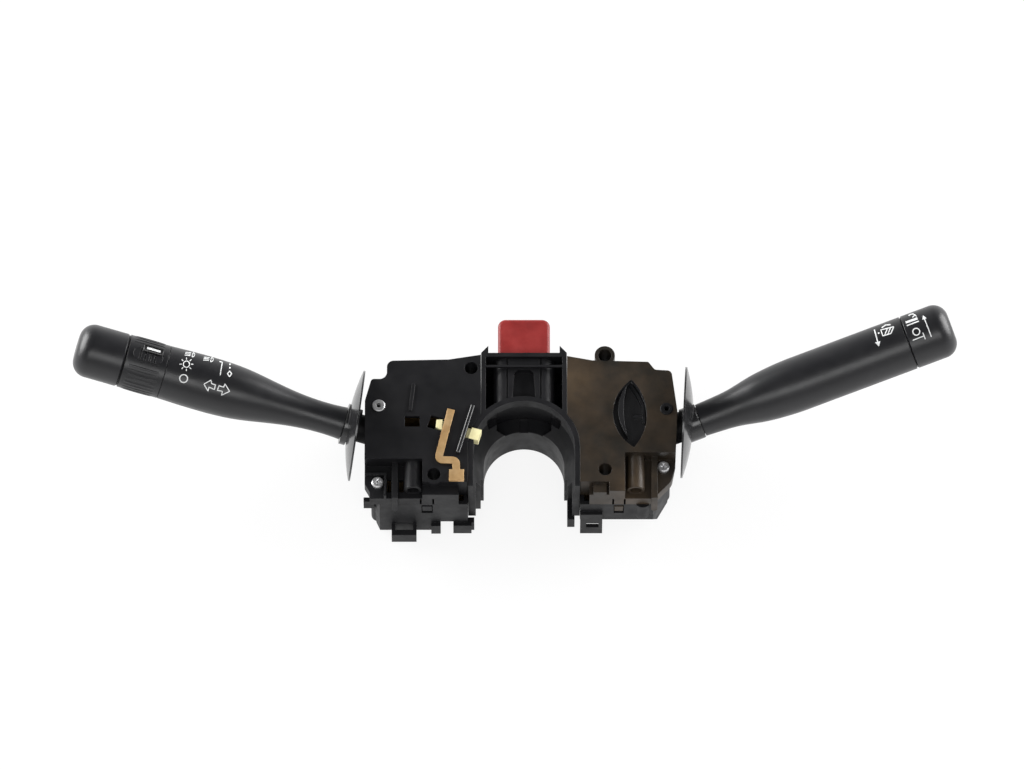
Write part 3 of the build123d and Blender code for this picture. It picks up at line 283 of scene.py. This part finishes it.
# One printed stroke: a thin closed slab that follows the surface under it
def addStroke(shape, tree, stroke, ink):
    closed = stroke.get("closed", False)
    line = resample(stroke["line"], ink["step"], closed)
    first, last = stroke.get("taper") or (stroke["width"], stroke["width"])
    rows = []
    for i, place in enumerate(line):
        before = line[i - 1] if closed or i else place
        after = line[(i + 1) % len(line)] if closed or i + 1 < len(line) else place
        way = Vector((after[0] - before[0], after[1] - before[1])).normalized()
        half = (first + (last - first) * i / (len(line) - 1)) / 2
        row = []
        for side in (half, -half):
            point, normal = dropOn(tree, (place[0] - way.y * side, place[1] + way.x * side))
            row += [shape.verts.new(point + normal * ink["proud"] * mm),
                    shape.verts.new(point - normal * ink["sunk"] * mm)]
        rows.append(row)
    pairs = list(zip(rows, rows[1:] + rows[:1] if closed else rows[1:]))
    for (a, b, c, d), (e, f, g, h) in pairs:
        for face in ((a, c, g, e), (b, f, h, d), (a, e, f, b), (c, d, h, g)):
            shape.faces.new(face)
    if not closed:
        a, b, c, d = rows[0]
        shape.faces.new((a, b, d, c))
        a, b, c, d = rows[-1]
        shape.faces.new((a, c, d, b))


def printMarks(name, node, body, strokes, ink, finish):
    tree = surfaceOf(node)
    shape = bmesh.new()
    for stroke in strokes:
        addStroke(shape, tree, stroke, ink)
    addPiece(name, shape, body, finish)
    print(name, "has", len(strokes), "strokes")


# How finely round marks are drawn, and how narrow an arrow's tip is
glyph = {"ringPoints": 20, "arcPoints": 9, "tip": 0.1}


def pointAt(centre, radius, degrees):
    turn = math.radians(degrees)
    return centre[0] + radius * math.cos(turn), centre[1] + radius * math.sin(turn)


def ringLine(centre, radius):
    points = glyph["ringPoints"]
    return [pointAt(centre, radius, 360 * i / points) for i in range(points)]


def arcLine(centre, radius, start, turn):
    steps = glyph["arcPoints"] - 1
    return [pointAt(centre, radius, start + turn * i / steps) for i in range(steps + 1)]


def ringMark(ring):
    return [{"line": ringLine(ring["centre"], ring["radius"]), "width": ring["width"], "closed": True}]


def dotMark(place, size):
    x, y = place
    return {"line": [(x - size[0] / 2, y), (x + size[0] / 2, y)], "width": size[1]}


def arrowMark(arrow):
    length, width = arrow["head"]
    way = (Vector(arrow["end"]) - Vector(arrow["start"])).normalized()
    neck = tuple(Vector(arrow["end"]) - way * length)
    return [{"line": [arrow["start"], neck], "width": arrow["width"]},
            {"line": [neck, arrow["end"]], "taper": (width, glyph["tip"])}]


def sunMark(sun):
    strokes = ringMark(sun)
    for i in range(sun["rayCount"]):
        turn = math.radians(360 / sun["rayCount"] * i)
        way = Vector((math.cos(turn), math.sin(turn)))
        line = [tuple(Vector(sun["centre"]) + way * reach) for reach in sun["rays"]]
        strokes.append({"line": line, "width": sun["width"]})
    return strokes


# A lamp seen from the side, its lens half round, with its beam as a row of slanting bars
def lampMark(centre, look):
    lean = math.radians(look["lean"])
    along = Vector((math.cos(lean), math.sin(lean)))
    across = Vector((-along.y, along.x))
    strokes = []
    for i in range(look["bars"]):
        level = (i - (look["bars"] - 1) / 2) * look["pitch"]
        start = Vector(centre) - along * look["gap"] + across * level
        end = start - along * look["bar"] - across * look["drop"]
        strokes.append({"line": [tuple(start), tuple(end)], "width": look["width"]})
    lens = arcLine(centre, look["radius"], look["lean"] - 90, 180)
    strokes.append({"line": lens, "width": look["width"], "closed": True})
    return strokes


ink = {"step": 0.45, "proud": 0.03, "sunk": 0.05}
printAndHighlightFinish = mouldedPlastic("printAndHighlightWhite", printAndHighlightWhite)

# Lighting stalk: off, side lamps and head lamps for the ring, and the turn arrows
lampLook = {
    "bars": 3, "pitch": 0.62, "gap": 0.8, "bar": 2.4, "drop": 0.3, "radius": 0.95, "width": 0.32, "lean": -12,
}
leftSigns = {
    "off": {"centre": (-147.26, 46.83), "radius": 1.70, "width": 0.50},
    "sun": {"centre": (-146.09, 53.04), "radius": 1.35, "rays": (2.0, 2.9), "rayCount": 8, "width": 0.40},
    "lamps": [(-143.6, 57.2), (-135.6, 55.1)],
    "pointer": [(-132.0, 54.2), (-130.7, 53.9), (-131.5, 48.3)],
    "dots": [(-127.4, 53.0), (-127.4, 51.5)],
    "dotSize": (0.7, 0.6),
    "diamond": [(-127.5, 50.1), (-126.6, 48.9), (-127.5, 47.6), (-128.4, 48.9)],
    "turnLeft": [(-138.5, 44.4), (-135.5, 46.1), (-135.1, 44.6), (-133.5, 44.1), (-134.0, 42.1),
                 (-136.3, 43.1), (-136.7, 41.4)],
    "turnRight": [(-132.0, 43.7), (-132.7, 41.7), (-130.5, 41.3), (-130.9, 39.6), (-127.4, 41.3),
                  (-129.4, 44.5), (-130.0, 43.1)],
    "lineWidth": 0.42,
}


def leftStrokes(signs):
    strokes = ringMark(signs["off"]) + sunMark(signs["sun"])
    for centre in signs["lamps"]:
        strokes += lampMark(centre, lampLook)
    strokes.append({"line": signs["pointer"], "width": signs["lineWidth"]})
    strokes += [dotMark(place, signs["dotSize"]) for place in signs["dots"]]
    for outline in ("diamond", "turnLeft", "turnRight"):
        strokes.append({"line": signs[outline], "width": signs["lineWidth"], "closed": True})
    return strokes


# Wiper stalk: the pull for washing, with a windscreen and its spray
rightSigns = {
    "pull": {"start": (151.8, 68.1), "end": (153.6, 60.8), "width": 0.5, "head": (2.0, 2.4)},
    "screen": [(154.6, 67.9), (160.2, 69.3), (158.8, 66.3), (155.4, 65.3)],
    "screenTop": [(155.0, 68.8), (156.7, 70.0), (158.8, 70.2)],
    "sprays": [[(156.2, 65.7), (157.4, 68.4)], [(157.6, 66.1), (158.7, 68.8)]],
    "drop": (153.6, 66.5),
    "dropSize": (0.6, 0.6),
    "lineWidth": 0.42,
}


def rightStrokes(signs):
    strokes = arrowMark(signs["pull"])
    strokes.append({"line": signs["screen"], "width": signs["lineWidth"], "closed": True})
    for line in [signs["screenTop"]] + signs["sprays"]:
        strokes.append({"line": line, "width": signs["lineWidth"]})
    strokes.append(dotMark(signs["drop"], signs["dropSize"]))
    return strokes


# Wiper stalk's cap: off, slow and fast, with a blade's sweep
capSigns = {
    "turn": {"start": (176.3, 64.9), "end": (172.8, 74.2), "width": 0.45, "head": (1.7, 2.0)},
    "bar": [(172.6, 66.7), (173.7, 63.9)],
    "stem": [(173.2, 65.3), (168.3, 63.4)],
    "off": {"centre": (169.8, 67.1), "radius": 1.5, "width": 0.48},
    "fast": {"line": [(165.3, 71.1), (170.4, 72.9)], "width": 0.96},
    "slow": {"line": [(165.7, 69.7), (171.0, 71.7)], "width": 0.5},
    "sweep": {"centre": (168.3, 72.9), "radius": 1.9, "start": 25, "turn": 120},
    "blade": [(168.3, 73.3), (169.3, 74.4)],
    "lineWidth": 0.42,
}


def capStrokes(signs):
    strokes = arrowMark(signs["turn"]) + ringMark(signs["off"])
    for line in ("bar", "stem", "blade"):
        strokes.append({"line": signs[line], "width": signs["lineWidth"]})
    strokes += [signs["fast"], signs["slow"]]
    sweep = signs["sweep"]
    arc = arcLine(sweep["centre"], sweep["radius"], sweep["start"], sweep["turn"])
    strokes.append({"line": arc, "width": signs["lineWidth"]})
    return strokes


printMarks("leftStalkMarks", "left_handle", "left_stalk", leftStrokes(leftSigns), ink, printAndHighlightFinish)
printMarks("rightStalkMarks", "right_handle", "right_stalk", rightStrokes(rightSigns), ink, printAndHighlightFinish)
printMarks("rightCapMarks", "right_end_cap", "right_cap_body", capStrokes(capSigns), ink, printAndHighlightFinish)

# Where each stalk leaves its housing, and which way it points
stalkLines = {
    "left": {"neck": (-78.5, 16.1, 30.2), "way": (-0.95775, 0.21454, 0.19155)},
    "right": {"neck": (76.8, 17.5, 30.4), "way": (0.93560, 0.29939, 0.18712)},
}


# A stalk's own directions: out along it, level across it, and up from it
def stalkFrame(stalk):
    way = Vector(stalkLines[stalk]["way"]).normalized()
    sideWay = upright.cross(way).normalized()
    return Vector(stalkLines[stalk]["neck"]), way, sideWay, way.cross(sideWay)


# Side faces between rows of points, each row a closed outline
def skinRows(shape, rows):
    count = len(rows[0])
    for near, far in zip(rows, rows[1:]):
        for k in range(count):
            after = (k + 1) % count
            shape.faces.new((near[k], near[after], far[after], far[k]))


# The light ring's grip: rounded ribs along it, all round but for the thumb pad that faces up
ringGrip = {
    "start": 83.4, "end": 97.4, "ribs": 36, "padRibs": 3, "width": 1.3, "proud": 0.28, "sunk": 0.5,
    "reach": 20.0, "stations": 11, "fullness": 0.35,
    "section": [(-0.5, -1.0), (-0.42, 0.3), (-0.2, 0.9), (0.0, 1.0), (0.2, 0.9), (0.42, 0.3), (0.5, -1.0)],
}


def makeRingGrip(grip):
    tree = surfaceOf("light_ring")
    neck, way, sideWay, topWay = stalkFrame("left")
    last = grip["stations"] - 1
    shape = bmesh.new()
    for rib in range(grip["padRibs"], grip["ribs"] - grip["padRibs"] + 1):
        angle = math.tau * rib / grip["ribs"]
        out = topWay * math.cos(angle) + sideWay * math.sin(angle)
        across = way.cross(out)
        rows = []
        for station in range(grip["stations"]):
            share = station / last
            along = neck + way * (grip["start"] + (grip["end"] - grip["start"]) * share)
            point = tree.ray_cast((along + out * grip["reach"]) * mm, -out)[0]
            crown = math.sin(math.pi * share) ** grip["fullness"] if 0 < station < last else 0.0
            row = []
            for side, height in grip["section"]:
                lift = grip["proud"] * height * crown if height > 0 else grip["sunk"] * height
                row.append(shape.verts.new(point + (across * grip["width"] * side + out * lift) * mm))
            rows.append(row)
        skinRows(shape, rows)
        shape.faces.new(rows[0][::-1])
        shape.faces.new(rows[-1])
    addPiece("lightRingGrip", shape, "light_ring_body", finishes["stalk_plastic"])
    print("light ring grip has", grip["ribs"] - 2 * grip["padRibs"] + 1, "ribs")


makeRingGrip(ringGrip)

# The key on the thumb pad: a raised glossy bar, and along its top a pale strip that is a painted highlight,
# where light catches the bar's top edge
padKey = {
    "turn": -14.0, "middle": 88.4, "rounding": 3, "profile": 0.5,
    "bar": {"length": 8.0, "width": 2.7, "foot": 10.8, "top": 12.95, "soften": 0.45},
    "highlight": {"length": 6.0, "width": 1.1, "foot": 12.75, "top": 13.03, "soften": 0.05},
}


def makeKeyBar(name, key, bar, finish):
    neck, way, sideWay, topWay = stalkFrame("left")
    turn = math.radians(key["turn"])
    out = topWay * math.cos(turn) + sideWay * math.sin(turn)
    across = way.cross(out)
    centre = neck + way * key["middle"] + out * (bar["foot"] + bar["top"]) / 2
    shape = bmesh.new()
    bmesh.ops.create_cube(shape, size=1.0)
    for corner in shape.verts:
        a, b, c = corner.co
        offset = way * a * bar["length"] + across * b * bar["width"] + out * c * (bar["top"] - bar["foot"])
        corner.co = (centre + offset) * mm
    bmesh.ops.bevel(shape, geom=list(shape.edges), offset=bar["soften"] * mm, segments=key["rounding"],
                    profile=key["profile"], affect="EDGES")
    addPiece(name, shape, "light_ring_body", finish)


makeKeyBar("padKeyBar", padKey, padKey["bar"], finishes["shield_plastic"])
# painted highlight: the pale strip on the bar's top stands in for light caught there
makeKeyBar("padKeyHighlight", padKey, padKey["highlight"], printAndHighlightFinish)
print("thumb pad key ready")

# Ribs across the lens-shaped recess of the wiper side's cover
lensRibs = [
    {"line": [(46.1, 43.9), (49.6, 38.6), (51.6, 34.6), (52.0, 27.0)], "width": 1.1},
    {"line": [(47.6, 29.9), (51.9, 29.9)], "width": 1.0},
]
ribSize = {"step": 0.6, "proud": 1.5, "sunk": 0.3}
printMarks("lensRibs", "right_front_cover", "housing", lensRibs, ribSize, finishes["stalk_plastic"])

# Painted shade: a glossy black sheet, a thin shell over the open floor and walls of that recess, darkens it
# where shade falls
lensShadeSheet = {
    "low": (39.2, -0.5, 30.0), "high": (53.9, 32.5, 40.7), "overhang": -0.1,
    "thickness": 0.04, "lift": 0.01, "clear": 0.05, "weld": 0.001,
}


def makeLensShadeSheet(shadeSheet):
    tree = surfaceOf("right_front_cover")
    shape = bmesh.new()
    shape.from_mesh(nodes["right_front_cover"].data)
    bmesh.ops.remove_doubles(shape, verts=shape.verts, dist=shadeSheet["weld"] * mm)
    outside = []
    for face in shape.faces:
        middle = face.calc_center_median() / mm
        inside = all(low < at < high for low, at, high in zip(shadeSheet["low"], middle, shadeSheet["high"]))
        lifted = (middle + face.normal * shadeSheet["clear"]) * mm
        covered = tree.ray_cast(lifted, upright)[0] is not None
        if not inside or face.normal.z < shadeSheet["overhang"] or covered:
            outside.append(face)
    bmesh.ops.delete(shape, geom=outside, context="FACES")
    bmesh.ops.translate(shape, verts=shape.verts, vec=upright * shadeSheet["lift"] * mm)
    bmesh.ops.solidify(shape, geom=list(shape.faces), thickness=-shadeSheet["thickness"] * mm)
    print("lens liner has", len(shape.faces), "faces")
    # the sheet's glossy black finish paints the recess's shade
    addPiece("lensShadeSheet", shape, "housing", finishes["shield_plastic"])


makeLensShadeSheet(lensShadeSheet)

# Dark shims that fill the seams of the stalks' turning pieces, fixed to the piece on the inner side
seams = {
    "leftRingSeam": {"stalk": "left", "start": 81.02, "end": 81.22, "radius": 11.3, "body": "left_stalk"},
    "leftCapSeam": {"stalk": "left", "start": 99.32, "end": 99.52, "radius": 11.3, "body": "light_ring_body"},
    "rightCapSeam": {"stalk": "right", "start": 96.02, "end": 96.32, "radius": 11.3, "body": "right_stalk"},
}
seamShape = {"bore": 6.5, "around": 72, "soften": 0.05}


def makeSeam(name, seam, ring):
    neck, way, sideWay, topWay = stalkFrame(seam["stalk"])
    start, end, rim, soft = seam["start"], seam["end"], seam["radius"], ring["soften"]
    outline = [(start, ring["bore"]), (end, ring["bore"]), (end, rim - soft), (end - soft, rim),
               (start + soft, rim), (start, rim - soft)]
    shape = bmesh.new()
    rows = []
    for step in range(ring["around"]):
        angle = math.tau * step / ring["around"]
        out = topWay * math.cos(angle) + sideWay * math.sin(angle)
        rows.append([shape.verts.new((neck + way * along + out * radius) * mm) for along, radius in outline])
    skinRows(shape, rows + rows[:1])
    addPiece(name, shape, seam["body"], finishes["stalk_plastic"])


for seamName, seam in seams.items():
    makeSeam(seamName, seam, seamShape)
print("seams ready")

# Coil springs, each a copy of its node's mesh carried by its body, with the node itself hidden
springs = {
    "left_detent_spring": {"joint": "left_plunger_travel", "body": "left_stalk", "travel": 1.2,
                           "way": stalkLines["left"]["way"], "farEndFixed": True},
    "right_detent_spring": {"joint": "right_plunger_travel", "body": "right_stalk", "travel": 1.2,
                            "way": stalkLines["right"]["way"], "farEndFixed": True},
    "hazard_spring": {"joint": "hazard_push", "body": "housing", "travel": 4.0,
                      "way": (0, 1, 0), "farEndFixed": False},
}


def makeSpring(node, spring):
    piece = bpy.data.objects.new(node.replace("_spring", "Coil"), nodes[node].data.copy())
    bpy.context.scene.collection.objects.link(piece)
    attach(piece, spring["body"])
    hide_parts(node)
    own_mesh(piece)


for springName, spring in springs.items():
    makeSpring(springName, spring)
print("springs ready")

# Floor, world and lamps
studio = {
    "floorSize": 6.0, "floorDrop": 0.0004, "floorGlow": 0.86, "floorColour": (0.92, 0.92, 0.92),
    "worldLight": 0.50, "worldSeen": 1.0,
    "room": [(0.0, 0.95), (0.45, 0.35), (0.75, 0.08), (1.0, 0.05)],
}
softboxes = [
    {"name": "front", "place": (0.0, -0.80, 1.20), "aim": (0, 0.0, 0.03), "size": (1.4, 0.5), "power": 8.0},
    {"name": "rightEnd", "place": (0.95, 0.50, 0.30), "aim": (0, 0.03, 0.03), "size": (0.9, 0.8),
     "power": 20.0},
    {"name": "leftEnd", "place": (-0.95, 0.50, 0.30), "aim": (0, 0.03, 0.03), "size": (0.9, 0.8),
     "power": 20.0},
]


def seenMix(tree, plain, seen):
    # what the camera, mirrors and clear things see is mixed in over the plain shader
    path = tree.nodes.new("ShaderNodeLightPath")
    first = addNode(tree, "ShaderNodeMath", {"operation": "MAXIMUM"})
    join(tree, path, "Is Camera Ray", first, 0)
    join(tree, path, "Is Glossy Ray", first, 1)
    both = addNode(tree, "ShaderNodeMath", {"operation": "MAXIMUM"})
    join(tree, first, 0, both, 0)
    join(tree, path, "Is Transmission Ray", both, 1)
    mix = tree.nodes.new("ShaderNodeMixShader")
    join(tree, both, 0, mix, "Fac")
    tree.links.new(plain, mix.inputs[1])
    tree.links.new(seen, mix.inputs[2])
    return mix


def makeFloor(look):
    half = look["floorSize"] / 2
    mesh = bpy.data.meshes.new("floor")
    low = -look["floorDrop"]
    mesh.from_pydata([(-half, -half, low), (half, -half, low), (half, half, low), (-half, half, low)],
                     [], [(0, 1, 2, 3)])
    floor = bpy.data.objects.new("floor", mesh)
    bpy.context.scene.collection.objects.link(floor)
    material = bpy.data.materials.new("floorWhite")
    material.use_nodes = True
    tree = material.node_tree
    tree.nodes.remove(tree.nodes["Principled BSDF"])
    paper = addNode(tree, "ShaderNodeBsdfDiffuse", Color=(*look["floorColour"], 1))
    glow = addNode(tree, "ShaderNodeEmission", Color=(1, 1, 1, 1), Strength=1.0)
    lit = addNode(tree, "ShaderNodeMixShader", Fac=look["floorGlow"])
    tree.links.new(paper.outputs[0], lit.inputs[1])
    tree.links.new(glow.outputs[0], lit.inputs[2])
    mix = seenMix(tree, paper.outputs[0], lit.outputs[0])
    tree.links.new(mix.outputs[0], tree.nodes["Material Output"].inputs["Surface"])
    mesh.materials.append(material)


def makeWorld(look):
    world = bpy.data.worlds.new("studioWorld")
    bpy.context.scene.world = world
    world.use_nodes = True
    tree = world.node_tree
    tree.nodes.clear()
    plain = addNode(tree, "ShaderNodeBackground", Color=(1, 1, 1, 1), Strength=look["worldLight"])
    # mirrors see pale walls low down and a dim ceiling
    place = tree.nodes.new("ShaderNodeTexCoord")
    parts = tree.nodes.new("ShaderNodeSeparateXYZ")
    join(tree, place, "Generated", parts, "Vector")
    room = ramp(tree, parts, "Z", [(height, (glow, glow, glow)) for height, glow in look["room"]])
    walls = addNode(tree, "ShaderNodeBackground", Strength=1.0)
    join(tree, room, "Color", walls, "Color")
    white = addNode(tree, "ShaderNodeBackground", Color=(1, 1, 1, 1), Strength=look["worldSeen"])
    path = tree.nodes.new("ShaderNodeLightPath")
    mirrored = addNode(tree, "ShaderNodeMath", {"operation": "MAXIMUM"})
    join(tree, path, "Is Glossy Ray", mirrored, 0)
    tree.links.new(path.outputs["Is Transmission Ray"], mirrored.inputs[1])
    inMirrors = tree.nodes.new("ShaderNodeMixShader")
    join(tree, mirrored, 0, inMirrors, "Fac")
    tree.links.new(plain.outputs[0], inMirrors.inputs[1])
    tree.links.new(walls.outputs[0], inMirrors.inputs[2])
    seen = tree.nodes.new("ShaderNodeMixShader")
    join(tree, path, "Is Camera Ray", seen, "Fac")
    tree.links.new(inMirrors.outputs[0], seen.inputs[1])
    tree.links.new(white.outputs[0], seen.inputs[2])
    output = tree.nodes.new("ShaderNodeOutputWorld")
    tree.links.new(seen.outputs[0], output.inputs["Surface"])


def makeSoftbox(box):
    data = bpy.data.lights.new(box["name"], "AREA")
    data.shape = "RECTANGLE"
    data.size, data.size_y = box["size"]
    data.energy = box["power"]
    lamp = bpy.data.objects.new(box["name"], data)
    lamp.location = box["place"]
    way = Vector(box["aim"]) - lamp.location
    lamp.rotation_euler = way.to_track_quat("-Z", "Y").to_euler()
    bpy.context.scene.collection.objects.link(lamp)


makeFloor(studio)
makeWorld(studio)
for softbox in softboxes:
    makeSoftbox(softbox)
bpy.context.scene.view_settings.view_transform = "Standard"
print("studio ready")

# A long lens, looking down at the part from the driver's side
cameraView = {
    "target": (-5.2, 34.6, 30.0), "elevation": viewElevation, "distance": 4948.0, "lens": 400.0,
    "sensor": 36.0, "clip": (1.0, 20.0),
}


def makeCamera(view):
    data = bpy.data.cameras.new("productCamera")
    data.lens = view["lens"]
    data.sensor_width = view["sensor"]
    data.clip_start, data.clip_end = view["clip"]
    camera = bpy.data.objects.new("productCamera", data)
    tilt = math.radians(view["elevation"])
    target = Vector(view["target"]) * mm
    camera.location = target + Vector((0, -math.cos(tilt), math.sin(tilt))) * view["distance"] * mm
    camera.rotation_euler = (math.radians(90) - tilt, 0, 0)
    bpy.context.scene.collection.objects.link(camera)
    bpy.context.scene.camera = camera


makeCamera(cameraView)
print("camera ready")
